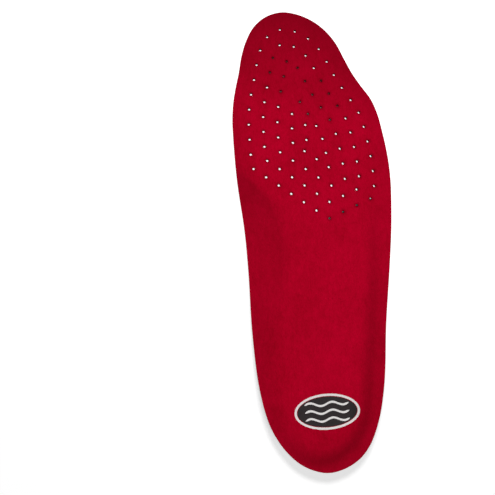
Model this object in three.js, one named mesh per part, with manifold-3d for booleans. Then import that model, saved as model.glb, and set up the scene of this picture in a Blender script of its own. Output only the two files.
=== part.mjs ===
// A cushioned, moulded insole for the right foot, in millimetres.
//
// It is a laminate. From the foot down: a brushed cover cloth with a mark printed on its heel, a soft
// comfort foam, and a firmer moulded footbed with a heel cup and an arch flange. Under the footbed a
// stabiliser shell cradles the waist and the heel, and two cushion inserts sit in pockets, one under
// the heel and one under the toes. The glue lines between them are the gaps named GLUE.
//
// Frame: +Y runs from the heel to the toe, +X to the outer (lateral) side, +Z up. The origin is on the
// ground, under the middle of the insole's bounding box.
import * as THREE from "three";
import { mergeGeometries, mergeVertices } from "three/addons/utils/BufferGeometryUtils.js";
import Module from "manifold-3d";

const wasm = await Module();
wasm.setup();

// ---------------------------------------------------------------- driving dimensions

const LENGTH = 282; // heel to toe
const WIDTH = 94; // across the ball

const COVER = 0.9; // cloth, with its nap
const COMFORT = 2.0; // soft foam under the cloth
const COMFORT_RIM = 1.0; // the same foam where the trimmed edge pinches it
const PINCH = 12; // how far in from the edge the pinch reaches
const GLUE = 0.3; // glue line between layers
const RIM = 3.8; // whole laminate at the trimmed edge of the cup, square to its surface
const FIT = 0.3; // clearance round an insert in its pocket

const SHELL = 1.4; // stabiliser wall
const SHELL_INSET = 8; // from the insole's edge to the shell's
const SHELL_LEAD = 4; // how far the shell's front edge runs ahead of the rearmost perforations
const SHELL_CORNER = 14; // rounding of its two front corners

const SHELL_BAND = 6.4; // width of the shell on each side of the window for the heel cushion
const SHELL_HEEL_BAND = 4; // its width behind the window
const WINDOW_MARGIN = 3; // rim of bed foam between the window and the heel cushion

const HEEL_CUSHION_LENGTH = 50;
const HEEL_CUSHION_THICK = 3.4;
const TOE_CUSHION = { x: -3, y: LENGTH - 47, across: 25, along: 62, thick: 1.2, turn: 46 };

const HOLE = 1.6; // diameter of a perforation
const HOLE_SIDES = 6;
const HOLE_PITCH = 9.2; // between perforations along a ring
const RING_PITCH = 8.8; // between one ring of perforations and the next
const RING_COUNT = 4;
const ZONE_MARGIN = 10; // from the edge of the insole to the outermost ring
const ZONE_REAR = { x: 7.6, y: LENGTH - 128.5, inner: 38, outer: 21 }; // the rear V: apex, arms' angles
const ZONE_CENTRE = { x: -1, y: LENGTH - 72 }; // what the rings close round
const INNER_ROW = { x: -2.2, y: LENGTH - 74.6, holes: 2 }; // the short row inside the last ring
const HOLE_SPACE = 6.4; // the least distance between any two perforations

const MARK = { x: -3, y: 36, across: 40, along: 22, line: 1.4, film: 0.25 };
const WAVE = { count: 3, pitch: 4.8, length: 27, height: 1.1, line: 1.3 };
const WAVE_LAND = 0.2; // least width of dark field between a wave's slot and the rim of the field

// The plan: [share of LENGTH from the heel, inner edge, outer edge], the edges as shares of half WIDTH.
const HEEL_TIP = -0.1;
const TOE_TIP = -0.25;
const STATIONS = [
  [0.014, -0.38, 0.2],
  [0.043, -0.588, 0.405],
  [0.1, -0.796, 0.575],
  [0.184, -0.911, 0.694],
  [0.312, -0.952, 0.78],
  [0.44, -0.94, 0.892],
  [0.532, -0.948, 0.963],
  [0.638, -0.993, 1.0],
  [0.73, -1.0, 0.938],
  [0.787, -0.985, 0.855],
  [0.83, -0.938, 0.7],
  [0.872, -0.865, 0.56],
  [0.915, -0.8, 0.458],
  [0.957, -0.687, 0.28],
  [0.986, -0.53, 0.045],
];

// Heights and widths of the form, each as [share of LENGTH from the heel, size].
const BED_HEIGHT = [[0, 8.6], [0.21, 8.6], [0.39, 9.2], [0.57, 7.4], [0.71, 6.2], [1, 5.2]];
const INNER_RISE = [
  [0, 9.5], [0.14, 10.5], [0.27, 12.5], [0.37, 13.5], [0.51, 8.5], [0.61, 3], [0.68, 0], [1, 0],
];
const OUTER_RISE = [[0, 9.5], [0.14, 9], [0.32, 7], [0.5, 4.5], [0.64, 0], [1, 0]];
const INNER_FLARE = [
  [0, 18], [0.11, 16], [0.23, 20], [0.35, 28], [0.48, 28], [0.58, 19], [0.68, 11], [0.75, 10], [1, 10],
];
const OUTER_FLARE = [[0, 18], [0.11, 16], [0.23, 14], [0.39, 13], [1, 13]];
const INNER_LIP = [[0, 0.8], [0.15, 0.7], [0.37, 0.4], [0.6, 0.4], [1, 0.4]];
const OUTER_LIP = [[0, 0.8], [0.15, 0.9], [0.4, 0.9], [1, 0.9]]; // at 1 the wall turns level at its edge
const UNDER_FLARE = 0.85; // the underside's flare as a share of the top's
const FLAT_RISE = 6; // where the cup rises less than this, the underside comes down flat
const HEEL_CENTRE = 36; // the form's rings close round the line between these two places
const TOE_CENTRE = LENGTH - 36;

const AROUND = 32; // steps along each side of the outline
const RINGS = [0, 0.1, 0.2, 0.32, 0.5, 0.8]; // where the form is drawn, as shares of the way in from the edge

// ---------------------------------------------------------------- the form

// A smooth curve through [share of LENGTH, value] pairs, read at a distance from the heel.
function curveThrough(pairs) {
  const cubic = new THREE.CubicInterpolant(pairs.map((p) => p[0]), pairs.map((p) => p[1]), 1);
  return (y) => cubic.evaluate(y / LENGTH)[0];
}

const bedHeight = curveThrough(BED_HEIGHT);
const rise = { inner: curveThrough(INNER_RISE), outer: curveThrough(OUTER_RISE) };
const flare = { inner: curveThrough(INNER_FLARE), outer: curveThrough(OUTER_FLARE) };
const lip = { inner: curveThrough(INNER_LIP), outer: curveThrough(OUTER_LIP) };
const middle = curveThrough(STATIONS.map(([along, inner, outer]) => [along, ((inner + outer) * WIDTH) / 4]));
const breadth = curveThrough(STATIONS.map(([along, inner, outer]) => [along, ((outer - inner) * WIDTH) / 2]));

// The outline as equal steps from the heel tip up the outer side to the toe tip, and back.
function drawOutline() {
  const at = (across, along) => new THREE.Vector3((across * WIDTH) / 2, along * LENGTH, 0);
  const outer = STATIONS.map(([along, , edge]) => at(edge, along));
  const inner = STATIONS.map(([along, edge]) => at(edge, along)).reverse();
  const points = [at(HEEL_TIP, 0), ...outer, at(TOE_TIP, 1), ...inner];
  const curve = new THREE.CatmullRomCurve3(points, true, "centripetal");
  const toe = (outer.length + 1) / points.length;
  return [...spaced(curve, 0, toe, "outer"), ...spaced(curve, toe, 1, "inner")];
}

// Points at equal distances along part of a curve, from one parameter up to but not at another.
function spaced(curve, from, to, side) {
  const fine = 600;
  const points = [];
  for (let i = 0; i <= fine; i++) points.push(curve.getPoint((from + ((to - from) * i) / fine) % 1));
  const run = [0];
  for (let i = 1; i <= fine; i++) run.push(run[i - 1] + points[i].distanceTo(points[i - 1]));
  return Array.from({ length: AROUND }, (_, step) => {
    const i = run.findIndex((length) => length >= (step / AROUND) * run[fine]);
    return { x: points[i].x, y: points[i].y, side };
  });
}

const OUTLINE = drawOutline();

// The way in from an outline point to the middle line of the insole.
function wayIn(point) {
  const y = THREE.MathUtils.clamp(point.y, HEEL_CENTRE, TOE_CENTRE);
  return new THREE.Vector2(middle(y) - point.x, y - point.y);
}

// The place at a distance along that way.
const inwards = (point, distance) => wayIn(point).setLength(distance).add(point);

// The wall's profile, from 0 at its foot to 1 at the edge, and its slope. A lip turns its top level.
function wall(point, distance, width) {
  const turned = lip[point.side](point.y);
  const share = Math.max(0, 1 - distance / width);
  return {
    height: share * share * (1 + 2 * turned * (1 - share)),
    slope: (2 * share * (1 - turned + 3 * turned * (1 - share))) / width,
  };
}

// The foot surface at a distance from the edge: its height, and its length for one unit of plan.
function footSurface(point, distance) {
  const { y } = inwards(point, distance);
  const height = Math.max(0, rise[point.side](point.y));
  const profile = wall(point, distance, flare[point.side](point.y));
  return { z: bedHeight(y) + height * profile.height, stretch: Math.hypot(1, height * profile.slope) };
}

// The underside's height: flat on the ground, and up the outside of the cup near its edge.
function underside(point, distance) {
  const edge = footSurface(point, 0);
  const height = Math.max(0, rise[point.side](point.y));
  const lift = (edge.z - RIM * edge.stretch) * THREE.MathUtils.smoothstep(height, 0, FLAT_RISE);
  return lift * wall(point, distance, flare[point.side](point.y) * UNDER_FLARE).height;
}

const comfortThickness = (distance) =>
  THREE.MathUtils.lerp(COMFORT_RIM, COMFORT, THREE.MathUtils.smoothstep(distance, 0, PINCH));

// A height that lies below the foot surface by a depth measured square to it.
const below = (depthAt) => (point, distance) => {
  const { z, stretch } = footSurface(point, distance);
  return z - depthAt(distance) * stretch;
};

// A height that lies above the underside by a fixed amount, square to the foot surface there.
const above = (depth) => (point, distance) =>
  underside(point, distance) + depth * footSurface(point, distance).stretch;

// ---------------------------------------------------------------- solids

// The triangles of one surface over the whole plan: bands between the rings, and a ladder in the middle.
function planTriangles() {
  const count = OUTLINE.length;
  const vertex = (ring, step) => ring * count + (step % count);
  const triangles = [];
  const last = RINGS.length - 1;
  for (let ring = 0; ring < last; ring++) {
    for (let step = 0; step < count; step++) {
      triangles.push([vertex(ring, step), vertex(ring, step + 1), vertex(ring + 1, step + 1)]);
      triangles.push([vertex(ring, step), vertex(ring + 1, step + 1), vertex(ring + 1, step)]);
    }
  }
  for (let step = 0; step < AROUND; step++) {
    const opposite = count - step;
    if (step < AROUND - 1) {
      triangles.push([vertex(last, step), vertex(last, step + 1), vertex(last, opposite - 1)]);
    }
    if (step > 0) triangles.push([vertex(last, step), vertex(last, opposite - 1), vertex(last, opposite)]);
  }
  return triangles;
}

const PLAN_TRIANGLES = planTriangles();

// The closed solid over the whole plan, between two heights that are given as functions.
function layer(topAt, bottomAt) {
  const count = OUTLINE.length;
  const under = RINGS.length * count;
  const positions = [];
  for (const heightAt of [topAt, bottomAt]) {
    for (const share of RINGS) {
      for (const point of OUTLINE) {
        const distance = share * wayIn(point).length();
        const { x, y } = inwards(point, distance);
        positions.push(x, y, heightAt(point, distance));
      }
    }
  }
  const faces = [];
  for (const [a, b, c] of PLAN_TRIANGLES) faces.push(a, b, c, under + a, under + c, under + b);
  for (let step = 0; step < count; step++) {
    const next = (step + 1) % count;
    faces.push(under + step, under + next, next, under + step, next, step);
  }
  const geometry = new THREE.BufferGeometry();
  geometry.setAttribute("position", new THREE.Float32BufferAttribute(positions, 3));
  geometry.setIndex(faces);
  return solid(geometry);
}

// A three.js geometry as a solid that can be joined and cut.
function solid(geometry) {
  const bare = geometry.clone();
  bare.deleteAttribute("normal");
  bare.deleteAttribute("uv");
  const merged = mergeVertices(bare, 1e-4);
  return new wasm.Manifold(
    new wasm.Mesh({
      numProp: 3,
      vertProperties: merged.attributes.position.array,
      triVerts: new Uint32Array(merged.index.array),
    }),
  );
}

// A plan shape as an upright prism.
function prism(shape, low, high, curveSegments = 12) {
  const geometry = new THREE.ExtrudeGeometry(shape, {
    depth: high - low,
    bevelEnabled: false,
    curveSegments,
  });
  return solid(geometry.translate(0, 0, low));
}

// An oval, longer along than across, turned about its centre; grown outwards by an amount.
function oval({ x, y, across, along, turn = 0 }, grown = 0) {
  const shape = new THREE.Shape();
  const angle = THREE.MathUtils.degToRad(turn);
  shape.absellipse(x, y, across / 2 + grown, along / 2 + grown, 0, 2 * Math.PI, false, angle);
  return shape;
}

const TALL = 60; // higher than anything here

// ---------------------------------------------------------------- perforations

// The distance from a place inside the outline to the outline.
function edgeDistance(x, y) {
  const place = new THREE.Vector3(x, y, 0);
  const nearest = new THREE.Vector3();
  const side = new THREE.Line3();
  const distances = OUTLINE.map((from, i) => {
    const to = OUTLINE[(i + 1) % OUTLINE.length];
    side.start.set(from.x, from.y, 0);
    side.end.set(to.x, to.y, 0);
    return side.closestPointToPoint(place, true, nearest).distanceTo(place);
  });
  return Math.min(...distances);
}

// How far a place lies inside the perforated zone, which has a V for its rear border.
function zoneDepth(x, y) {
  const inner = THREE.MathUtils.degToRad(ZONE_REAR.inner);
  const outer = THREE.MathUtils.degToRad(ZONE_REAR.outer);
  const dx = x - ZONE_REAR.x;
  const dy = y - ZONE_REAR.y;
  const fromInnerArm = dx * Math.sin(inner) + dy * Math.cos(inner);
  const fromOuterArm = dy * Math.cos(outer) - dx * Math.sin(outer);
  return Math.min(edgeDistance(x, y) - ZONE_MARGIN, fromInnerArm, fromOuterArm);
}

// The place where the line from the zone's centre at an angle crosses a depth.
function crossing(angle, depth) {
  const at = (radius) =>
    new THREE.Vector2(ZONE_CENTRE.x + radius * Math.cos(angle), ZONE_CENTRE.y + radius * Math.sin(angle));
  let near = 0;
  let far = 0;
  while (zoneDepth(at(far).x, at(far).y) > depth) far += 2;
  for (let halving = 0; halving < 12; halving++) {
    const half = (near + far) / 2;
    if (zoneDepth(at(half).x, at(half).y) > depth) near = half;
    else far = half;
  }
  return at(near);
}

// One ring of places, evenly spaced from the apex of its V.
function holeRing(depth) {
  const fine = 240;
  const path = Array.from({ length: fine }, (_, i) => crossing((i / fine) * 2 * Math.PI, depth));
  const apex = path.reduce((least, place, i) => (place.y < path[least].y ? i : least), 0);
  const loop = [...path.slice(apex), ...path.slice(0, apex)];
  const curve = new THREE.CatmullRomCurve3(loop.map((p) => new THREE.Vector3(p.x, p.y, 0)), true);
  curve.arcLengthDivisions = fine * 2;
  const count = Math.round(curve.getLength() / HOLE_PITCH);
  return Array.from({ length: count }, (_, i) => curve.getPointAt(i / count));
}

// The pins that punch the perforations, as one solid.
function perforations() {
  const wanted = [];
  for (let ring = 0; ring < RING_COUNT; ring++) wanted.push(...holeRing(ring * RING_PITCH));
  for (let i = 0; i < INNER_ROW.holes; i++) {
    wanted.push({ x: INNER_ROW.x, y: INNER_ROW.y + (i - (INNER_ROW.holes - 1) / 2) * HOLE_PITCH });
  }
  const places = [];
  for (const place of wanted) {
    const free = ({ x, y }) => Math.hypot(place.x - x, place.y - y) > HOLE_SPACE;
    if (places.every(free)) places.push(place);
  }
  const pin = new THREE.CylinderGeometry(HOLE / 2, HOLE / 2, 2 * TALL, HOLE_SIDES).rotateX(Math.PI / 2);
  return solid(mergeGeometries(places.map(({ x, y }) => pin.clone().translate(x, y, 0))));
}

// ---------------------------------------------------------------- the layers

const COVER_FOOT = 0;
const COVER_BACK = COVER;
const COMFORT_FACE = COVER_BACK + GLUE;

const footFace = below(() => COVER_FOOT);
const coverBack = below(() => COVER_BACK);
const comfortFace = below(() => COMFORT_FACE);
const comfortBack = below((distance) => COMFORT_FACE + comfortThickness(distance));
const bedFace = below((distance) => COMFORT_FACE + comfortThickness(distance) + GLUE);

// The cover cloth, punched, with the shallow pressed seat that the printed mark lies in.
function topCover(pins) {
  const seatFloor = below(() => MARK.film + GLUE);
  const seatTop = below(() => -TALL);
  const seat = layer(seatTop, seatFloor).intersect(prism(oval(MARK, FIT), -TALL, TALL));
  return layer(footFace, coverBack).subtract(seat).subtract(pins);
}

// The soft foam under the cloth, pinched thinner at the trimmed edge.
function comfortLayer(pins) {
  return layer(comfortFace, comfortBack).subtract(pins);
}

// The moulded bed, with the shell's recess and the two cushion pockets in its underside.
function footbed(pins) {
  const recess = layer(above(SHELL + GLUE), below(() => TALL))
    .intersect(prism(shellPlan(FIT), -TALL, TALL))
    .subtract(prism(oval(HEEL_CUSHION, WINDOW_MARGIN - FIT), -TALL, TALL));
  return layer(bedFace, underside)
    .subtract(recess)
    .subtract(pocket(HEEL_CUSHION))
    .subtract(pocket(TOE_CUSHION))
    .subtract(pins);
}

// The stabiliser's plan: the insole's outline drawn in, with a front edge along the rear V's outer arm.
function shellPlan(grown) {
  const slope = Math.tan(THREE.MathUtils.degToRad(ZONE_REAR.outer));
  const front = (x) => ZONE_REAR.y + SHELL_LEAD + grown + slope * (x - ZONE_REAR.x);
  const edge = OUTLINE.map((point) => inwards(point, SHELL_INSET - grown));
  const behind = (point) => point.y < front(point.x) - SHELL_CORNER;
  const outer = edge.slice(0, AROUND).filter(behind);
  const inner = edge.slice(AROUND).filter(behind);
  const from = outer[outer.length - 1];
  const to = inner[0];
  const shape = new THREE.Shape(outer);
  const frontOuter = from.x - SHELL_CORNER;
  const frontInner = to.x + SHELL_CORNER;
  shape.quadraticCurveTo(from.x, front(from.x), frontOuter, front(frontOuter));
  shape.lineTo(frontInner, front(frontInner));
  shape.quadraticCurveTo(to.x, front(to.x), to.x, to.y);
  inner.slice(1).forEach((point) => shape.lineTo(point.x, point.y));
  return shape;
}

// The stabiliser: a cradle round the heel and a plate under the waist and the arch.
function archShell() {
  return layer(above(SHELL), underside)
    .intersect(prism(shellPlan(0), -TALL, TALL, 6))
    .subtract(prism(oval(HEEL_CUSHION, WINDOW_MARGIN), -TALL, TALL));
}

// The heel cushion fills the shell's window, so its size and place follow from the shell's bands.
function heelInsert() {
  const y = SHELL_INSET + SHELL_HEEL_BAND + WINDOW_MARGIN + HEEL_CUSHION_LENGTH / 2;
  const across = breadth(y) - 2 * (SHELL_INSET + SHELL_BAND + WINDOW_MARGIN);
  return { x: middle(y), y, across, along: HEEL_CUSHION_LENGTH, thick: HEEL_CUSHION_THICK };
}

const HEEL_CUSHION = heelInsert();

// A cushion insert, and the pocket that takes it with its glue line and clearance.
const cushion = (insert) => prism(oval(insert), 0, insert.thick);
const pocket = (insert) => prism(oval(insert, FIT), -TALL, insert.thick + GLUE);

// ---------------------------------------------------------------- the printed mark

const printFilm = (shape) => layer(footFace, below(() => MARK.film)).intersect(prism(shape, -TALL, TALL));

// The edge of one wave, which runs across the heel; grown outwards by an amount.
function waveEdge(index, length, grown) {
  const y = MARK.y + (index - (WAVE.count - 1) / 2) * WAVE.pitch;
  const steps = 10;
  const line = (side) =>
    Array.from({ length: steps + 1 }, (_, i) => {
      const share = i / steps;
      const x = MARK.x + (share - 0.5) * (length + 2 * grown);
      const swell = WAVE.height * Math.sin(share * 4 * Math.PI);
      return new THREE.Vector2(x, y + swell + side * (WAVE.line / 2 + grown));
    });
  return [...line(-1), ...line(1).reverse()];
}

// The waves are as long as stated, or as much of it as keeps every slot inside the field.
function waveLength() {
  const inset = MARK.line + FIT + WAVE_LAND;
  const inField = ({ x, y }) =>
    Math.hypot((x - MARK.x) / (MARK.across / 2 - inset), (y - MARK.y) / (MARK.along / 2 - inset)) <= 1;
  const indices = Array.from({ length: WAVE.count }, (_, i) => i);
  for (let length = WAVE.length; length > 0; length -= 0.25) {
    if (indices.every((i) => waveEdge(i, length, FIT).every(inField))) return length;
  }
  throw new Error("the waves don't fit inside the mark");
}
const WAVE_LENGTH = waveLength();

// A line of ink in the shape of one wave; grown outwards by an amount.
const waveShape = (index, grown = 0) => new THREE.Shape(waveEdge(index, WAVE_LENGTH, grown));

// The oval rim of the mark.
function markRing() {
  const shape = oval(MARK);
  shape.holes.push(oval(MARK, -MARK.line));
  return printFilm(shape);
}

// The dark field inside the rim, with a slot for each wave.
function markField() {
  const shape = oval(MARK, -MARK.line - FIT);
  for (let i = 0; i < WAVE.count; i++) shape.holes.push(waveShape(i, FIT));
  return printFilm(shape);
}

// ---------------------------------------------------------------- assembly

const CLOTH = { color: 0xa00020, roughness: 0.95, metalness: 0 };
const SOFT_FOAM = { color: 0x2a2a2c, roughness: 0.95, metalness: 0 };
const BED_FOAM = { color: 0x151516, roughness: 0.85, metalness: 0 };
const SHELL_PLASTIC = { color: 0x1d1e20, roughness: 0.4, metalness: 0 };
const CUSHION_GEL = { color: 0x8e1420, roughness: 0.5, metalness: 0 };
const WHITE_INK = { color: 0xe8e6e2, roughness: 0.6, metalness: 0 };
const DARK_INK = { color: 0x16090c, roughness: 0.6, metalness: 0 };

// A finished solid as a named mesh, in the part's frame.
function part(name, body, look) {
  const { numProp, vertProperties, triVerts } = body.getMesh();
  const geometry = new THREE.BufferGeometry();
  geometry.setAttribute("position", new THREE.BufferAttribute(vertProperties, numProp));
  geometry.setIndex(new THREE.BufferAttribute(triVerts, 1));
  geometry.computeVertexNormals();
  const mesh = new THREE.Mesh(geometry, new THREE.MeshStandardMaterial(look));
  mesh.name = name;
  return mesh;
}

const pins = perforations();
const insole = new THREE.Group();
insole.add(part("top_cover", topCover(pins), CLOTH));
insole.add(part("comfort_layer", comfortLayer(pins), SOFT_FOAM));
insole.add(part("footbed", footbed(pins), BED_FOAM));
insole.add(part("arch_shell", archShell(), SHELL_PLASTIC));
insole.add(part("heel_cushion", cushion(HEEL_CUSHION), CUSHION_GEL));
insole.add(part("toe_cushion", cushion(TOE_CUSHION), CUSHION_GEL));
insole.add(part("mark_ring", markRing(), WHITE_INK));
insole.add(part("mark_field", markField(), DARK_INK));
for (let i = 0; i < WAVE.count; i++) {
  insole.add(part(`mark_wave_${i + 1}`, printFilm(waveShape(i)), WHITE_INK));
}

// The form is drawn from the heel's edge; the part's origin is under the middle of its box.
const reach = new THREE.Box3().setFromObject(insole);
insole.position.set(-(reach.min.x + reach.max.x) / 2, -LENGTH / 2, 0);

export default insole;
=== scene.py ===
import math

import bmesh
import bpy
import numpy as np
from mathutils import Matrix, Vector
from mathutils.bvhtree import BVHTree
from mathutils.kdtree import KDTree


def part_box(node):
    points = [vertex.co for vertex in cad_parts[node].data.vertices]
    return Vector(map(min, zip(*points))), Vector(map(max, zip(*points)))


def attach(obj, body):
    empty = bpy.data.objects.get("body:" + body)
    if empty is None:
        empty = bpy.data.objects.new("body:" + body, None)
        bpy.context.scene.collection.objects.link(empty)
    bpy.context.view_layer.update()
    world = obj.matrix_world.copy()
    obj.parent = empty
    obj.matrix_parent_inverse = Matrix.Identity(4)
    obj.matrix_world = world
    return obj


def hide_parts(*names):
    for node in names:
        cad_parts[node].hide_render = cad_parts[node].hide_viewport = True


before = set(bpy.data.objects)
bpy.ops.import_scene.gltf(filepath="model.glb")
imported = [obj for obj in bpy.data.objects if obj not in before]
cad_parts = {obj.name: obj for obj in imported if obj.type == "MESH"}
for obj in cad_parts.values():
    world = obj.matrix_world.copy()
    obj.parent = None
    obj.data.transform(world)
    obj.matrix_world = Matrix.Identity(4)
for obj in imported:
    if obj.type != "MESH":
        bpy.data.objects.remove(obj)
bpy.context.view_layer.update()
bpy.ops.object.select_all(action="DESELECT")


# ------------------------------------------------------------------------------------------------
# The viewpoint. The insole lies flat and is seen from straight above, a little from its inner side,
# with the toe leaning left of upright.

VIEW_HEIGHT = 0.848
VIEW_LENS = 100.0
VIEW_LEAN = math.radians(4.55)

bpy.ops.object.camera_add(
    location=(-0.0435, -0.0012, VIEW_HEIGHT),
    rotation=(0.0, 0.0, -VIEW_LEAN),
)
camera = bpy.context.object
camera.name = "camera"
camera.data.lens = VIEW_LENS
camera.data.sensor_width = 36.0
camera.data.clip_start = 0.01
bpy.context.scene.camera = camera
bpy.context.scene.view_settings.view_transform = "Standard"


# ------------------------------------------------------------------------------------------------
# The table and the light. A plain white table with a painted glow of its own, brighter towards the toe;
# a soft lamp nearly straight above, a second one from beyond the toe that leaves a soft shadow at the
# heel, and a dim white room.

GLOW_AT_HEEL = 0.46
GLOW_AT_TOE = 0.9
TOP_LAMP = (-0.03, -0.06, 1.25)
TOP_SIZE = 0.3
TOP_POWER = 5.2
TOE_LAMP = (0.03, 0.38, 1.05)
TOE_SIZE = 0.2
TOE_POWER = 5.2
ROOM_LIGHT = 0.04

bpy.ops.mesh.primitive_plane_add(size=8.0, location=(0.0, 0.0, -0.0004))
table = bpy.context.object
table.name = "table"
table_white = bpy.data.materials.new("table_white")
table_white.use_nodes = True
shader = table_white.node_tree.nodes["Principled BSDF"]
shader.inputs["Base Color"].default_value = (0.8, 0.8, 0.8, 1.0)
shader.inputs["Roughness"].default_value = 0.9
shader.inputs["Specular IOR Level"].default_value = 0.1
shader.inputs["Emission Color"].default_value = (1.0, 1.0, 1.0, 1.0)
# painted light: the table's emission rises from the heel towards the toe
spot = table_white.node_tree.nodes.new("ShaderNodeTexCoord")
along = table_white.node_tree.nodes.new("ShaderNodeSeparateXYZ")
glow = table_white.node_tree.nodes.new("ShaderNodeMapRange")
for socket, value in (
    ("From Min", -0.1),
    ("From Max", 0.02),
    ("To Min", GLOW_AT_HEEL),
    ("To Max", GLOW_AT_TOE),
):
    glow.inputs[socket].default_value = value
table_white.node_tree.links.new(spot.outputs["Object"], along.inputs["Vector"])
table_white.node_tree.links.new(along.outputs["Y"], glow.inputs["Value"])
table_white.node_tree.links.new(glow.outputs["Result"], shader.inputs["Emission Strength"])
table.data.materials.append(table_white)

for name, place, size, power in (
    ("top_lamp", TOP_LAMP, TOP_SIZE, TOP_POWER),
    ("toe_lamp", TOE_LAMP, TOE_SIZE, TOE_POWER),
):
    bpy.ops.object.light_add(type="AREA", location=place)
    lamp = bpy.context.object
    lamp.name = name
    lamp.data.shape = "DISK"
    lamp.data.size = size
    lamp.data.energy = power
    lamp.rotation_euler = (-lamp.location).to_track_quat("-Z", "Y").to_euler()

room = bpy.data.worlds.new("room")
bpy.context.scene.world = room
room.use_nodes = True
room.node_tree.nodes["Background"].inputs["Color"].default_value = (1.0, 1.0, 1.0, 1.0)
room.node_tree.nodes["Background"].inputs["Strength"].default_value = ROOM_LIGHT


# ------------------------------------------------------------------------------------------------
# The cover cloth: a brushed red micro-suede, moulded over the cup and trimmed flush with the foam.
# It is drawn over one plan that all the layers share, between its own upper and lower faces, then
# pressed down where the mark is printed, and punched over the forefoot.

AROUND = 4  # steps of the fine outline to one step of the moulded form's
NEAR_EDGE = (0.0, 0.0007, 0.0018, 0.0032, 0.005)  # the first rings, by their distance from the edge
INNER_RINGS = 15
MIDDLE_STRIP = 0.0015  # half the width of the strip left along the middle
HEEL_TURN = 0.036  # the rings close round a middle line that stops this far short of heel and toe
CLOTH = 0.0009
SETTLE = 14
HOLE = 0.00148


def layer_face(node, side):
    """The upper (1) or lower (-1) face of a layer's solid, without its walls."""
    face = bmesh.new()
    face.from_mesh(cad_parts[node].data)
    bmesh.ops.remove_doubles(face, verts=face.verts, dist=1e-5)
    away = [f for f in face.faces if f.normal.z * side < 0.3]
    bmesh.ops.delete(face, geom=away, context="FACES")
    return face


def from_heel(loop):
    """A ring of places, run anticlockwise from its lowest y."""
    area = np.sum(loop[:, 0] * np.roll(loop[:, 1], -1) - loop[:, 1] * np.roll(loop[:, 0], -1))
    if area < 0:
        loop = loop[::-1]
    return np.roll(loop, -int(np.lexsort((loop[:, 0], loop[:, 1]))[0]), axis=0)


def edge_loops(face):
    """The open edges of a face as rings of places, the longest first."""
    left = {e for e in face.edges if e.is_boundary}
    loops = []
    while left:
        first = left.pop()
        loop = [first.verts[0], first.verts[1]]
        while True:
            onward = next((e for e in loop[-1].link_edges if e in left), None)
            if onward is None:
                break
            left.remove(onward)
            loop.append(onward.other_vert(loop[-1]))
        loops.append(from_heel(np.array([v.co[:] for v in loop[:-1]])))
    return sorted(loops, key=lambda loop: (-np.ptp(loop[:, 1]) - np.ptp(loop[:, 0]), *loop[0]))


def smooth_loop(loop, steps):
    """A ring of places, run anticlockwise from its lowest y and rounded through its corners."""
    loop = from_heel(loop)
    before, after, beyond = np.roll(loop, 1, 0), np.roll(loop, -1, 0), np.roll(loop, -2, 0)
    rounded = []
    for t in np.arange(steps) / steps:
        rounded.append(
            0.5
            * (
                2 * loop
                + (after - before) * t
                + (2 * before - 5 * loop + 4 * after - beyond) * t * t
                + (3 * loop - before - 3 * after + beyond) * t**3
            )
        )
    return np.stack(rounded, axis=1).reshape(-1, loop.shape[1])


def shared_plan():
    """The rings of places, seen from above, that every layer is drawn on: [ring, step, x and y]."""
    face = layer_face("top_cover", -1)
    rim = smooth_loop(edge_loops(face)[0], AROUND)[:, :2]
    face.free()
    toe = int(np.argmax(rim[:, 1]))
    outer, inner = rim[: toe + 1], np.concatenate([rim[:1], rim[toe:][::-1]])
    low, high = rim[0, 1] + HEEL_TURN, rim[toe, 1] - HEEL_TURN
    y = np.clip(rim[:, 1], low, high)
    x = (np.interp(y, outer[:, 1], outer[:, 0]) + np.interp(y, inner[:, 1], inner[:, 0])) / 2
    way = np.stack([x, y], axis=1) - rim
    reach = np.linalg.norm(way, axis=1)
    way /= reach[:, None]
    rings = [rim + way * distance for distance in NEAR_EDGE]
    for step in range(1, INNER_RINGS + 1):
        share = step / INNER_RINGS
        distance = NEAR_EDGE[-1] * (1 - share) + (reach - MIDDLE_STRIP) * share
        rings.append(rim + way * distance[:, None])
    return np.array(rings)


plan = shared_plan()


def settled(z):
    """Heights on the shared plan with the moulded form's flat facets eased out of them."""
    place = np.concatenate([plan, z[:, :, None]], axis=2)
    span = np.linalg.norm(np.diff(plan, axis=0), axis=2)
    side = np.linalg.norm(np.roll(plan, -1, axis=1) - plan, axis=2) + 2e-4
    out_pull, in_pull = 1 / span, 1 / np.concatenate([span[1:], np.full((1, z.shape[1]), 0.003)])
    on_pull, back_pull = 1 / side[1:], 1 / np.roll(side, 1, axis=1)[1:]
    across = np.roll(np.arange(z.shape[1])[::-1], 1)
    z = place[:, :, 2]
    for _ in range(SETTLE):
        inward = np.concatenate([z[2:], z[-1:, across]])
        pulled = (
            z[:-1] * out_pull
            + inward * in_pull
            + np.roll(z, -1, axis=1)[1:] * on_pull
            + np.roll(z, 1, axis=1)[1:] * back_pull
        ) / (out_pull + in_pull + on_pull + back_pull)
        z[1:] = 0.4 * z[1:] + 0.6 * pulled
        z[0] = 0.6 * z[0] + 0.2 * (np.roll(z[0], 1) + np.roll(z[0], -1))
    return z


def heights_on(face, side):
    """The heights of a face over the shared plan, with its perforations bridged."""
    rim = smooth_loop(edge_loops(face)[0], AROUND)[:, 2]
    bmesh.ops.holes_fill(face, edges=face.edges, sides=24)
    tree = BVHTree.FromBMesh(face)
    face.free()
    z = np.empty(plan.shape[:2])
    z[0] = rim
    for ring in range(1, len(plan)):
        for step, (x, y) in enumerate(plan[ring]):
            hit = tree.ray_cast(Vector((x, y, side)), Vector((0.0, 0.0, -side)))[0]
            z[ring, step] = hit.z if hit else z[ring - 1, step]
    return z


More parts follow.
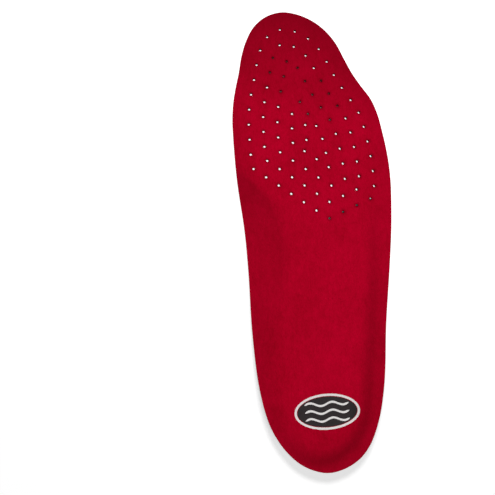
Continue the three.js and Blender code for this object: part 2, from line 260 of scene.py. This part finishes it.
def sheet_between(name, low, high, ease=0.0):
    """A closed sheet on the shared plan between two fields of heights; ease rounds its edge."""
    bpy.ops.mesh.primitive_circle_add(vertices=plan.shape[1], radius=0.05, fill_type="NOTHING")
    piece = bpy.context.object
    piece.name = name
    piece.data.name = name
    count, rings = plan.shape[1], plan.shape[0]
    sheet = bmesh.new()
    rows = []
    middle_edge = (low[0] + high[0]) / 2
    for z, sense in ((high, 1), (low, -1)):
        for ring in range(rings):
            drop = ease * sense if ring == 0 else 0.0
            rows.append(
                [sheet.verts.new((x, y, h - drop)) for (x, y), h in zip(plan[ring], z[ring])]
            )
    belt = [sheet.verts.new((x, y, h)) for (x, y), h in zip(plan[0], middle_edge)]
    upper, lower = rows[:rings], rows[rings:]
    for step in range(count):
        on = (step + 1) % count
        for ring in range(rings - 1):
            sheet.faces.new(
                (upper[ring][step], upper[ring][on], upper[ring + 1][on], upper[ring + 1][step])
            )
            sheet.faces.new(
                (lower[ring + 1][step], lower[ring + 1][on], lower[ring][on], lower[ring][step])
            )
        sheet.faces.new((belt[step], belt[on], upper[0][on], upper[0][step]))
        sheet.faces.new((lower[0][step], lower[0][on], belt[on], belt[step]))
    for step in range(count // 2):
        on, over, over_on = step + 1, (count - step) % count, count - step - 1
        ladder = [step, on, over_on, over]
        ladder = sorted(set(ladder), key=ladder.index)
        sheet.faces.new([upper[-1][i] for i in ladder])
        sheet.faces.new([lower[-1][i] for i in reversed(ladder)])
    sheet.to_mesh(piece.data)
    sheet.free()
    piece.data.transform(piece.matrix_world.inverted())
    return piece


def finish_with(piece, kind, **settings):
    """Adds a modifier to a piece and applies it."""
    bpy.ops.object.select_all(action="DESELECT")
    piece.select_set(True)
    bpy.context.view_layer.objects.active = piece
    modifier = piece.modifiers.new(kind.lower(), kind)
    for setting, value in settings.items():
        setattr(modifier, setting, value)
    bpy.ops.object.modifier_apply(modifier=modifier.name)


def punch_pins():
    """One round pin for each perforation, joined into one tool."""
    cloth = bmesh.new()
    cloth.from_mesh(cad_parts["top_cover"].data)
    bmesh.ops.remove_doubles(cloth, verts=cloth.verts, dist=1e-5)
    walls = {f for f in cloth.faces if abs(f.normal.z) < 0.1}
    places = []
    while walls:
        island, grown = [], [walls.pop()]
        while grown:
            wall = grown.pop()
            island.append(wall)
            beside = {f for e in wall.edges for f in e.link_faces} & walls
            walls -= beside
            grown += beside
        spots = np.array([v.co[:2] for f in island for v in f.verts])
        if np.ptp(spots, axis=0).max() < 0.003:
            places.append((spots.max(axis=0) + spots.min(axis=0)) / 2)
    cloth.free()
    bpy.ops.object.select_all(action="DESELECT")
    pins = []
    for x, y in sorted(map(tuple, places)):
        bpy.ops.mesh.primitive_cylinder_add(
            vertices=14, radius=HOLE / 2, depth=0.04, location=(x, y, 0.01)
        )
        pins.append(bpy.context.object)
    for pin in pins:
        pin.select_set(True)
    bpy.context.view_layer.objects.active = pins[0]
    bpy.ops.object.join()
    bpy.ops.object.transform_apply(location=True, rotation=True, scale=True)
    pins[0].name = "punch"
    return pins[0], np.array(places)


punch, hole_places = punch_pins()

cloth_low = heights_on(layer_face("top_cover", -1), -1)
cloth_high = heights_on(layer_face("top_cover", 1), 1)
cloth_high = cloth_low + np.maximum(cloth_high - cloth_low, CLOTH)
cloth_low = settled(cloth_low)
cloth_high = settled(cloth_high)

# the print presses the nap down a little inside the mark's oval
mark_low, mark_high = (np.array(corner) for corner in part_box("mark_ring"))
mark_centre = (mark_low + mark_high)[:2] / 2
mark_half = (mark_high - mark_low)[:2] / 2
PRESS = 0.00022


def mark_share(x, y):
    """Where a place is in the mark's oval: 0 at its centre and 1 on its rim."""
    return np.hypot((x - mark_centre[0]) / mark_half[0], (y - mark_centre[1]) / mark_half[1])


pressed = np.clip((1.06 - mark_share(plan[:, :, 0], plan[:, :, 1])) / 0.1, 0.0, 1.0)
cloth_high -= PRESS * pressed

# the mould also leaves two long creases: one round the outer side and the back of the cup, one along
# the foot of the arch. Each is how far it spreads left and right of its way from toe to heel, and
# places on that way with how strong the crease is at them.
CREASE_DEPTH = 0.0003
CREASES = (
    (
        0.0032,
        0.0046,
        (
            (0.0375, 0.028, 0.0),
            (0.034, 0.0, 0.6),
            (0.0295, -0.042, 0.75),
            (0.024, -0.091, 0.85),
            (0.018, -0.12, 1.0),
            (-0.002, -0.1355, 1.0),
            (-0.021, -0.132, 0.6),
            (-0.031, -0.118, 0.1),
            (-0.034, -0.1, 0.0),
        ),
    ),
    (
        0.0017,
        0.019,
        (
            (-0.047, 0.045, 0.6),
            (-0.037, 0.037, 1.0),
            (-0.028, 0.024, 0.8),
            (-0.0225, 0.006, 0.6),
            (-0.022, -0.014, 0.4),
            (-0.027, -0.038, 0.3),
            (-0.034, -0.068, 0.0),
        ),
    ),
)


def creased(x, y):
    """How strongly the cloth is creased at places, from 0 to 1."""
    strength = np.zeros(x.shape)
    for left, right, line in CREASES:
        line = np.array(line)
        for _ in range(4):
            near, far = line[:-1], line[1:]
            cut = np.stack([0.75 * near + 0.25 * far, 0.25 * near + 0.75 * far], axis=1)
            line = np.concatenate([line[:1], cut.reshape(-1, 3), line[-1:]])
        ways = np.gradient(line[:, :2], axis=0)
        for (line_x, line_y, strong), (way_x, way_y) in zip(line, ways):
            off_x, off_y = x - line_x, y - line_y
            spread = np.where(off_x * way_y > off_y * way_x, right, left)
            reach = (off_x**2 + off_y**2) / spread**2
            strength = np.maximum(strength, strong * np.exp(-reach))
    return strength


cloth_high -= CREASE_DEPTH * creased(plan[:, :, 0], plan[:, :, 1])

cover = sheet_between("cover_cloth", cloth_low, cloth_high, ease=0.00012)
finish_with(cover, "SUBSURF", levels=1, render_levels=1)
cloth_surface = BVHTree.FromObject(cover, bpy.context.evaluated_depsgraph_get())
finish_with(cover, "BOOLEAN", operation="DIFFERENCE", object=punch, solver="MANIFOLD")
bpy.ops.object.shade_smooth_by_angle(angle=math.radians(40))

# an attribute that darkens the cloth's colour: round each punched hole, and as painted shade in the
# creases and towards the trimmed edge, the toe and the back of the heel
HOLE_RING_REACH = 0.0021  # how far from a hole's middle the cloth is darkened
HOLE_RING_FADE = 0.0012
CREASE_SHARE = 0.62
TOE_SHARE, TOE_FROM, TOE_FADE, TOE_SLANT = 0.75, 0.075, 0.06, 0.3
HEEL_SHARE, HEEL_FROM, HEEL_FADE = 0.35, -0.095, 0.04
EDGE_SHARE, EDGE_FADE = 0.22, 0.014
hole_rings_and_painted_shade = cover.data.attributes.new("hole_rings_and_painted_shade", "FLOAT", "POINT")
spots = np.empty(len(cover.data.vertices) * 3)
cover.data.vertices.foreach_get("co", spots)
spots = spots.reshape(-1, 3)[:, :2]
nearest = np.full(len(spots), 1.0)
for place in hole_places:
    nearest = np.minimum(nearest, np.hypot(*(spots - place).T))
at_holes = np.clip((HOLE_RING_REACH - nearest) / HOLE_RING_FADE, 0.0, 1.0)
# painted shade: the creases, the toe end, the back of the heel and a band along the edge are darker
at_creases = CREASE_SHARE * creased(spots[:, 0], spots[:, 1])
towards_toe = spots[:, 1] + TOE_SLANT * spots[:, 0]
at_ends = TOE_SHARE * np.clip((towards_toe - TOE_FROM) / TOE_FADE, 0.0, 1.0)
at_ends += HEEL_SHARE * np.clip((HEEL_FROM - spots[:, 1]) / HEEL_FADE, 0.0, 1.0)
edge = KDTree(plan.shape[1])
for index, (x, y) in enumerate(plan[0]):
    edge.insert((x, y, 0.0), index)
edge.balance()
from_edge = np.array([edge.find((x, y, 0.0))[2] for x, y in spots])
at_edge = EDGE_SHARE * np.clip(1.0 - from_edge / EDGE_FADE, 0.0, 1.0)
darkened_most = np.maximum(at_holes, at_creases + at_ends + at_edge)
hole_rings_and_painted_shade.data.foreach_set("value", np.clip(darkened_most, 0.0, 1.0))


def node_tree_of(name):
    """A new material with its shader, and a helper that adds a linked node."""
    material = bpy.data.materials.new(name)
    material.use_nodes = True
    tree = material.node_tree

    def add(kind, inputs=None, **settings):
        node = tree.nodes.new(kind)
        for setting, value in settings.items():
            setattr(node, setting, value)
        for socket, value in (inputs or {}).items():
            if isinstance(value, bpy.types.NodeSocket):
                tree.links.new(value, node.inputs[socket])
            else:
                node.inputs[socket].default_value = value
        return node

    return material, tree, tree.nodes["Principled BSDF"], add


def suede(name, deep, bright):
    """Brushed knit: a short matted nap over a fine knit, blotched where it lies different ways."""
    material, tree, shader, add = node_tree_of(name)
    place = add("ShaderNodeTexCoord").outputs["Object"]
    brushed = add(
        "ShaderNodeMapping", {"Vector": place, "Scale": (1.0, 0.45, 1.0), "Rotation": (0, 0, 0.2)}
    ).outputs["Vector"]
    nap = add(
        "ShaderNodeTexNoise", {"Vector": brushed, "Scale": 1500.0, "Detail": 5.0, "Roughness": 0.7}
    ).outputs["Fac"]
    tuft = add(
        "ShaderNodeTexNoise", {"Vector": brushed, "Scale": 420.0, "Detail": 3.0, "Roughness": 0.6}
    ).outputs["Fac"]
    lie = add(
        "ShaderNodeTexNoise", {"Vector": place, "Scale": 46.0, "Detail": 3.0, "Roughness": 0.55}
    ).outputs["Fac"]
    fine = add("ShaderNodeMath", {0: nap, 1: 0.55}, operation="MULTIPLY").outputs[0]
    both = add(
        "ShaderNodeMath", {0: tuft, 1: 0.3, 2: fine}, operation="MULTIPLY_ADD"
    ).outputs[0]
    mixed = add(
        "ShaderNodeMath", {0: lie, 1: 0.3, 2: both}, operation="MULTIPLY_ADD"
    ).outputs[0]
    tone = add(
        "ShaderNodeMapRange", {"Value": mixed, "From Min": 0.42, "From Max": 0.74}
    ).outputs["Result"]
    colour = add("ShaderNodeMix", {"Factor": tone, 6: deep, 7: bright}, data_type="RGBA").outputs[2]
    # darkened where the attribute says: round each hole, and painted shade in creases, along the edge,
    # toe and heel
    hole_and_shade_field = add("ShaderNodeAttribute", attribute_name="hole_rings_and_painted_shade").outputs["Fac"]
    share = add("ShaderNodeMath", {0: hole_and_shade_field, 1: 0.65}, operation="MULTIPLY").outputs[0]
    darkened_colour = add(
        "ShaderNodeMix",
        {"Factor": share, 6: colour, 7: tuple(c * 0.4 for c in deep[:3]) + (1.0,)},
        data_type="RGBA",
    ).outputs[2]
    tree.links.new(darkened_colour, shader.inputs["Base Color"])
    relief = add(
        "ShaderNodeBump", {"Height": both, "Strength": 0.5, "Distance": 0.0005}
    ).outputs["Normal"]
    tree.links.new(relief, shader.inputs["Normal"])
    shader.inputs["Roughness"].default_value = 0.95
    shader.inputs["Specular IOR Level"].default_value = 0.04
    shader.inputs["Sheen Weight"].default_value = 0.03
    shader.inputs["Sheen Roughness"].default_value = 0.5
    shader.inputs["Sheen Tint"].default_value = (1.0, 0.1, 0.15, 1.0)
    return material


cover.data.materials.clear()
cover.data.materials.append(suede("red_suede", (0.39, 0.0, 0.012, 1.0), (0.61, 0.0, 0.026, 1.0)))
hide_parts("top_cover")
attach(cover, "root")


# ------------------------------------------------------------------------------------------------
# The comfort layer: open-cell foam bonded to the back of the cloth, pinched thin where the press
# trims the edge. Only its cut edge and the holes' walls show.

foam_high = np.minimum(settled(heights_on(layer_face("comfort_layer", 1), 1)), cloth_low - 0.00015)
foam_low = np.minimum(settled(heights_on(layer_face("comfort_layer", -1), -1)), foam_high - 0.0008)
comfort = sheet_between("comfort_foam", foam_low, foam_high, ease=0.00005)
finish_with(comfort, "SUBSURF", levels=1, render_levels=1)
finish_with(comfort, "BOOLEAN", operation="DIFFERENCE", object=punch, solver="MANIFOLD")
bpy.ops.object.shade_smooth_by_angle(angle=math.radians(40))


def foam(name, dark, light, cell, depth, roughness):
    """Foam: round cells of one rough size, cut open at the surface."""
    material, tree, shader, add = node_tree_of(name)
    place = add("ShaderNodeTexCoord").outputs["Object"]
    cells = add(
        "ShaderNodeTexVoronoi", {"Vector": place, "Scale": 1.0 / cell, "Randomness": 1.0}
    ).outputs["Distance"]
    cloud = add(
        "ShaderNodeTexNoise", {"Vector": place, "Scale": 120.0, "Detail": 3.0}
    ).outputs["Fac"]
    # the tone is darker in the cells' hollows: painted shade inside the open cells
    tone = add(
        "ShaderNodeMath", {0: cells, 1: 0.7, 2: cloud}, operation="MULTIPLY_ADD"
    ).outputs[0]
    level = add(
        "ShaderNodeMapRange", {"Value": tone, "From Min": 0.4, "From Max": 1.2}
    ).outputs["Result"]
    colour = add("ShaderNodeMix", {"Factor": level, 6: dark, 7: light}, data_type="RGBA").outputs[2]
    tree.links.new(colour, shader.inputs["Base Color"])
    relief = add(
        "ShaderNodeBump", {"Height": cells, "Strength": depth, "Distance": 0.0004}
    ).outputs["Normal"]
    tree.links.new(relief, shader.inputs["Normal"])
    shader.inputs["Roughness"].default_value = roughness
    shader.inputs["Specular IOR Level"].default_value = 0.3
    return material


comfort.data.materials.clear()
comfort.data.materials.append(
    foam("comfort_grey", (0.012, 0.012, 0.013, 1.0), (0.05, 0.05, 0.053, 1.0), 0.0006, 0.7, 0.95)
)
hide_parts("comfort_layer")
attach(comfort, "root")


# ------------------------------------------------------------------------------------------------
# The footbed: dense black foam moulded in one shot, with a fine skin on its underside. The shell's
# recess and the cushions' pockets are moulded into it; the perforations are punched with the cloth.

GLUE = 0.0003
SHELL_WALL = 0.0014
FIT = 0.0003


def underside_heights():
    """The heights of the whole underside, across the footbed and the pieces set flush in it."""
    nodes = ("footbed", "arch_shell", "heel_cushion", "toe_cushion")
    trees = []
    for node in nodes:
        face = layer_face(node, -1)
        if node == "footbed":
            rim = smooth_loop(edge_loops(face)[0], AROUND)[:, 2]
        bmesh.ops.holes_fill(face, edges=face.edges, sides=24)
        trees.append(BVHTree.FromBMesh(face))
        face.free()
    z = np.empty(plan.shape[:2])
    z[0] = rim
    for ring in range(1, len(plan)):
        for step, (x, y) in enumerate(plan[ring]):
            under_it, upwards = Vector((x, y, -1.0)), Vector((0.0, 0.0, 1.0))
            hits = [tree.ray_cast(under_it, upwards)[0] for tree in trees]
            z[ring, step] = min([hit.z for hit in hits if hit], default=z[ring - 1, step])
    for _ in range(2):
        inward = np.concatenate([z[1:], z[-1:]])
        outward = np.concatenate([z[:1], z[:-1]])
        around = np.median([inward, outward, np.roll(z, 1, 1), np.roll(z, -1, 1)], axis=0)
        z = np.where(z > around + 0.0007, around, z)
    return z


under = np.maximum(settled(underside_heights()), 0.0)
under = np.where(under < 0.00006, 0.0, under)
bed_high = np.minimum(settled(heights_on(layer_face("footbed", 1), 1)), foam_low - 0.00015)
bed_low = np.minimum(under, bed_high - 0.0009)
bed = sheet_between("moulded_bed", bed_low, bed_high, ease=0.00005)
finish_with(bed, "SUBSURF", levels=1, render_levels=1)


def even_loop(loop, spacing):
    """The same ring of places at even distances."""
    closed = np.concatenate([loop, loop[:1]])
    run = np.concatenate([[0.0], np.cumsum(np.linalg.norm(np.diff(closed, axis=0), axis=1))])
    at = np.linspace(0.0, run[-1], max(12, int(run[-1] / spacing)), endpoint=False)
    return np.stack([np.interp(at, run, values) for values in closed.T], axis=1)


def plan_of(node, which=0, grow=0.0):
    """A ring of a piece's lower face as seen from above, grown outwards by an amount."""
    face = layer_face(node, -1)
    loop = smooth_loop(even_loop(edge_loops(face)[which][:, :2], 0.005), 4)
    face.free()
    along = np.roll(loop, -1, 0) - np.roll(loop, 1, 0)
    along /= np.linalg.norm(along, axis=1)[:, None]
    return loop + grow * np.stack([along[:, 1], -along[:, 0]], axis=1)


def upright(name, loop, low, high):
    """A block with a given plan, from one height to another."""
    bpy.ops.object.select_all(action="DESELECT")
    bpy.ops.mesh.primitive_circle_add(vertices=len(loop), radius=0.01, fill_type="NGON")
    block = bpy.context.object
    block.name = name
    block.data.name = name
    for vertex, (x, y) in zip(block.data.vertices, loop):
        vertex.co = (x, y, low)
    bpy.ops.object.mode_set(mode="EDIT")
    bpy.ops.mesh.select_all(action="SELECT")
    bpy.ops.mesh.extrude_region_move(TRANSFORM_OT_translate={"value": (0.0, 0.0, high - low)})
    bpy.ops.mesh.select_all(action="SELECT")
    bpy.ops.mesh.normals_make_consistent(inside=False)
    bpy.ops.object.mode_set(mode="OBJECT")
    return block


def cut_with(piece, tool, operation="DIFFERENCE"):
    """Cuts a piece with a tool, which is then put away."""
    finish_with(piece, "BOOLEAN", operation=operation, object=tool, solver="MANIFOLD")
    bpy.data.objects.remove(tool)


recess = sheet_between("recess", under - 0.004, under + SHELL_WALL + GLUE)
finish_with(recess, "SUBSURF", levels=1, render_levels=1)
cut_with(recess, upright("recess_plan", plan_of("arch_shell", 0, FIT), -0.02, 0.04), "INTERSECT")
cut_with(recess, upright("window_core", plan_of("arch_shell", 1, -FIT), -0.02, 0.04))
cut_with(bed, recess)
for node in ("heel_cushion", "toe_cushion"):
    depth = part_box(node)[1][2] + GLUE
    cut_with(bed, upright("pocket", plan_of(node, 0, FIT), -0.01, depth))
finish_with(bed, "BOOLEAN", operation="DIFFERENCE", object=punch, solver="MANIFOLD")
bpy.ops.object.shade_smooth_by_angle(angle=math.radians(40))


def moulded_foam(name, dark, light):
    """Moulded foam: a fine skin with the mould's small diamond grain, and a few pits."""
    material, tree, shader, add = node_tree_of(name)
    place = add("ShaderNodeTexCoord").outputs["Object"]
    grain = []
    for turn in (0.785, -0.785):
        turned = add(
            "ShaderNodeMapping", {"Vector": place, "Rotation": (0.0, 0.0, turn)}
        ).outputs["Vector"]
        grain.append(
            add("ShaderNodeTexWave", {"Vector": turned, "Scale": 95.0, "Distortion": 0.0}).outputs["Fac"]
        )
    diamond = add("ShaderNodeMath", {0: grain[0], 1: grain[1]}, operation="MULTIPLY").outputs[0]
    pits = add(
        "ShaderNodeTexVoronoi", {"Vector": place, "Scale": 1100.0, "Randomness": 1.0}
    ).outputs["Distance"]
    height = add(
        "ShaderNodeMath", {0: diamond, 1: 0.8, 2: pits}, operation="MULTIPLY_ADD"
    ).outputs[0]
    cloud = add(
        "ShaderNodeTexNoise", {"Vector": place, "Scale": 60.0, "Detail": 4.0}
    ).outputs["Fac"]
    level = add(
        "ShaderNodeMapRange", {"Value": cloud, "From Min": 0.3, "From Max": 0.7}
    ).outputs["Result"]
    colour = add("ShaderNodeMix", {"Factor": level, 6: dark, 7: light}, data_type="RGBA").outputs[2]
    tree.links.new(colour, shader.inputs["Base Color"])
    relief = add(
        "ShaderNodeBump", {"Height": height, "Strength": 0.45, "Distance": 0.0004}
    ).outputs["Normal"]
    tree.links.new(relief, shader.inputs["Normal"])
    shader.inputs["Roughness"].default_value = 0.78
    shader.inputs["Specular IOR Level"].default_value = 0.35
    return material


bed.data.materials.clear()
bed.data.materials.append(
    moulded_foam("bed_black", (0.009, 0.009, 0.01, 1.0), (0.022, 0.022, 0.024, 1.0))
)
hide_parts("footbed")
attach(bed, "root")


# ------------------------------------------------------------------------------------------------
# The stabiliser shell: a thin plate of satin plastic set flush under the waist and the arch, with a
# cradle round the heel and a window for the heel cushion. Long flutes are moulded into its underside.

FLUTES = (
    (-0.012, -0.034, 0.030),
    (-0.002, -0.028, 0.038),
    (0.008, -0.022, 0.036),
    (0.018, -0.014, 0.028),
)
FLUTE_DEPTH = 0.0005
FLUTE_HALF = 0.0022

shell = sheet_between("stabiliser_shell", under, under + SHELL_WALL)
finish_with(shell, "SUBSURF", levels=1, render_levels=1)
cut_with(shell, upright("shell_plan", plan_of("arch_shell", 0), -0.02, 0.04), "INTERSECT")
cut_with(shell, upright("window", plan_of("arch_shell", 1), -0.02, 0.04))
for x, y, half_length in FLUTES:
    bpy.ops.object.select_all(action="DESELECT")
    bpy.ops.mesh.primitive_uv_sphere_add(
        segments=32, ring_count=24, radius=1.0, location=(x, y, 0.0)
    )
    flute = bpy.context.object
    bpy.ops.object.transform_apply(location=True, rotation=True, scale=True)
    bpy.ops.object.mode_set(mode="EDIT")
    bpy.ops.mesh.select_all(action="SELECT")
    bpy.ops.transform.resize(
        value=(FLUTE_HALF, half_length, FLUTE_DEPTH), center_override=(x, y, 0.0)
    )
    bpy.ops.object.mode_set(mode="OBJECT")
    cut_with(shell, flute)
EASED_OVER = math.radians(50)  # corners sharper than this are eased
finish_with(
    shell, "BEVEL", width=0.00025, segments=2, limit_method="ANGLE", angle_limit=EASED_OVER
)
bpy.ops.object.shade_smooth_by_angle(angle=math.radians(35))


def satin_plastic(name, dark, light):
    """Moulded plastic: a fine spark-eroded grain and faint flow marks."""
    material, tree, shader, add = node_tree_of(name)
    place = add("ShaderNodeTexCoord").outputs["Object"]
    grain = add(
        "ShaderNodeTexNoise", {"Vector": place, "Scale": 2600.0, "Detail": 3.0, "Roughness": 0.6}
    ).outputs["Fac"]
    long_way = add("ShaderNodeMapping", {"Vector": place, "Scale": (1.0, 0.25, 1.0)}).outputs["Vector"]
    flow = add("ShaderNodeTexNoise", {"Vector": long_way, "Scale": 70.0, "Detail": 4.0}).outputs["Fac"]
    colour = add("ShaderNodeMix", {"Factor": flow, 6: dark, 7: light}, data_type="RGBA").outputs[2]
    tree.links.new(colour, shader.inputs["Base Color"])
    rough = add(
        "ShaderNodeMapRange", {"Value": flow, "To Min": 0.34, "To Max": 0.5}
    ).outputs["Result"]
    tree.links.new(rough, shader.inputs["Roughness"])
    relief = add(
        "ShaderNodeBump", {"Height": grain, "Strength": 0.25, "Distance": 0.0002}
    ).outputs["Normal"]
    tree.links.new(relief, shader.inputs["Normal"])
    shader.inputs["Specular IOR Level"].default_value = 0.45
    return material


shell.data.materials.clear()
shell.data.materials.append(
    satin_plastic("shell_graphite", (0.016, 0.017, 0.019, 1.0), (0.034, 0.035, 0.038, 1.0))
)
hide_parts("arch_shell")
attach(shell, "root")


# ------------------------------------------------------------------------------------------------
# The two cushions: soft red elastomer slabs glued into the footbed's pockets. Their undersides are
# moulded with rings, so that they give more than a plain slab.


def ringed_cushion(name, node, rings, land, groove, depth):
    """A slab with its plan's own shape, and ring grooves sunk into its underside."""
    low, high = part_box(node)
    slab = upright(name, plan_of(node), low[2], high[2])
    bpy.ops.object.mode_set(mode="EDIT")
    bpy.ops.mesh.select_mode(type="FACE")
    bpy.ops.mesh.select_all(action="DESELECT")
    bpy.ops.object.mode_set(mode="OBJECT")
    for face in slab.data.polygons:
        face.select = face.normal.z < -0.9
    bpy.ops.object.mode_set(mode="EDIT")
    for _ in range(rings):
        bpy.ops.mesh.inset(thickness=land, use_even_offset=False)
        bpy.ops.mesh.extrude_region_move(TRANSFORM_OT_translate={"value": (0.0, 0.0, depth)})
        bpy.ops.mesh.inset(thickness=groove, use_even_offset=False)
        bpy.ops.mesh.extrude_region_move(TRANSFORM_OT_translate={"value": (0.0, 0.0, -depth)})
    bpy.ops.object.mode_set(mode="OBJECT")
    finish_with(
        slab, "BEVEL", width=0.00022, segments=2, limit_method="ANGLE", angle_limit=EASED_OVER
    )
    bpy.ops.object.shade_smooth_by_angle(angle=math.radians(35))
    return slab


def elastomer(name, dark, light):
    """Cast elastomer: cloudy colour and a soft, faintly orange-peeled face."""
    material, tree, shader, add = node_tree_of(name)
    place = add("ShaderNodeTexCoord").outputs["Object"]
    cloud = add("ShaderNodeTexNoise", {"Vector": place, "Scale": 140.0, "Detail": 4.0}).outputs["Fac"]
    peel = add("ShaderNodeTexNoise", {"Vector": place, "Scale": 900.0, "Detail": 2.0}).outputs["Fac"]
    level = add(
        "ShaderNodeMapRange", {"Value": cloud, "From Min": 0.3, "From Max": 0.7}
    ).outputs["Result"]
    colour = add("ShaderNodeMix", {"Factor": level, 6: dark, 7: light}, data_type="RGBA").outputs[2]
    tree.links.new(colour, shader.inputs["Base Color"])
    relief = add(
        "ShaderNodeBump", {"Height": peel, "Strength": 0.3, "Distance": 0.0003}
    ).outputs["Normal"]
    tree.links.new(relief, shader.inputs["Normal"])
    shader.inputs["Roughness"].default_value = 0.45
    return material


cushion_red = elastomer("cushion_red", (0.2, 0.006, 0.012, 1.0), (0.34, 0.014, 0.024, 1.0))
heel_pad = ringed_cushion("heel_pad", "heel_cushion", 3, 0.0026, 0.0013, 0.0008)
toe_pad = ringed_cushion("toe_pad", "toe_cushion", 2, 0.0012, 0.0008, 0.0004)
for pad, node in ((heel_pad, "heel_cushion"), (toe_pad, "toe_cushion")):
    pad.data.materials.clear()
    pad.data.materials.append(cushion_red)
    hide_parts(node)
    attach(pad, "root")


# ------------------------------------------------------------------------------------------------
# The mark: a generic badge of three waves in an oval, printed on the heel of the cloth as thin films
# of ink: a dark field, a white rim round it, and the waves over the field.

INK = 0.0001
RIM_LINE = 0.0014
FIELD_GAP = 0.0003
WAVE_LINE = 0.0013
WAVE_TURNS = 2


def laid_on_cloth(film, lift):
    """Lays a flat film over the cloth and gives it its thickness."""
    for vertex in film.data.vertices:
        above = Vector((vertex.co.x, vertex.co.y + 1e-5, 0.1))
        vertex.co.z = cloth_surface.ray_cast(above, Vector((0.0, 0.0, -1.0)))[0].z + lift
    finish_with(film, "SOLIDIFY", thickness=INK, offset=1.0)
    bpy.ops.object.shade_smooth_by_angle(angle=math.radians(40))


def oval_film(name, outer, inner, strips):
    """A flat oval ring on the mark's centre, between two ovals given by their half sizes."""
    bpy.ops.object.select_all(action="DESELECT")
    centre = (*mark_centre, 0.0)
    bpy.ops.mesh.primitive_circle_add(vertices=112, radius=1.0, location=centre)
    film = bpy.context.object
    film.name = name
    film.data.name = name
    bpy.ops.object.transform_apply(location=True, rotation=True, scale=True)
    bpy.ops.object.mode_set(mode="EDIT")
    bpy.ops.mesh.select_mode(type="EDGE")
    bpy.ops.mesh.select_all(action="SELECT")
    bpy.ops.transform.resize(value=(*outer, 1.0), center_override=centre)
    for strip in range(strips):
        now = [o + (i - o) * strip / strips for o, i in zip(outer, inner)]
        then = [o + (i - o) * (strip + 1) / strips for o, i in zip(outer, inner)]
        bpy.ops.mesh.extrude_edges_move()
        bpy.ops.transform.resize(
            value=(then[0] / now[0], then[1] / now[1], 1.0), center_override=centre
        )
    return film


rim = oval_film("mark_rim", mark_half, [half - RIM_LINE for half in mark_half], 2)
bpy.ops.object.mode_set(mode="OBJECT")
laid_on_cloth(rim, 0.00004)

field_half = [half - RIM_LINE - FIELD_GAP for half in mark_half]
field = oval_film("mark_dark", field_half, [half * 0.06 for half in field_half], 9)
bpy.ops.mesh.edge_face_add()
bpy.ops.object.mode_set(mode="OBJECT")
laid_on_cloth(field, 0.00003)

waves = []
for index in (1, 2, 3):
    low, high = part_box(f"mark_wave_{index}")
    bpy.ops.object.select_all(action="DESELECT")
    bpy.ops.mesh.primitive_grid_add(x_subdivisions=64, y_subdivisions=2, size=1.0)
    wave = bpy.context.object
    wave.name = f"mark_line_{index}"
    wave.data.name = wave.name
    swell = (high[1] - low[1] - WAVE_LINE) / 2
    for vertex in wave.data.vertices:
        turn = (vertex.co.x + 0.5) * WAVE_TURNS * 2 * math.pi
        taper = min(1.0, (0.5 - abs(vertex.co.x)) * 14 + 0.35)
        middle = (low[1] + high[1]) / 2
        vertex.co.y = middle + vertex.co.y * WAVE_LINE * taper + swell * math.sin(turn)
        vertex.co.x = (low[0] + high[0]) / 2 + vertex.co.x * (high[0] - low[0])
    laid_on_cloth(wave, 0.00003 + INK + 0.00003)
    waves.append(wave)


def ink(name, dark, light):
    """Transfer ink: a matte film that takes up the weave under it, with small gaps in its cover."""
    material, tree, shader, add = node_tree_of(name)
    place = add("ShaderNodeTexCoord").outputs["Object"]
    weave = add("ShaderNodeTexNoise", {"Vector": place, "Scale": 1300.0, "Detail": 3.0}).outputs["Fac"]
    level = add(
        "ShaderNodeMapRange", {"Value": weave, "From Min": 0.3, "From Max": 0.6}
    ).outputs["Result"]
    colour = add("ShaderNodeMix", {"Factor": level, 6: dark, 7: light}, data_type="RGBA").outputs[2]
    tree.links.new(colour, shader.inputs["Base Color"])
    relief = add(
        "ShaderNodeBump", {"Height": weave, "Strength": 0.4, "Distance": 0.0002}
    ).outputs["Normal"]
    tree.links.new(relief, shader.inputs["Normal"])
    shader.inputs["Roughness"].default_value = 0.6
    shader.inputs["Specular IOR Level"].default_value = 0.3
    return material


white_ink = ink("white_ink", (0.84, 0.8, 0.79, 1.0), (0.96, 0.95, 0.94, 1.0))
dark_ink = ink("dark_ink", (0.02, 0.004, 0.006, 1.0), (0.007, 0.005, 0.006, 1.0))
printed = [(rim, "mark_ring", "white_ink", white_ink), (field, "mark_field", "dark_ink", dark_ink)]
printed += [(wave, f"mark_wave_{i + 1}", "white_ink", white_ink) for i, wave in enumerate(waves)]
for film, node, slot, material in printed:
    film.data.materials.clear()
    film.data.materials.append(material)
    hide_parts(node)
    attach(film, "root")


# ------------------------------------------------------------------------------------------------
# The punch is put away.

bpy.data.objects.remove(punch)
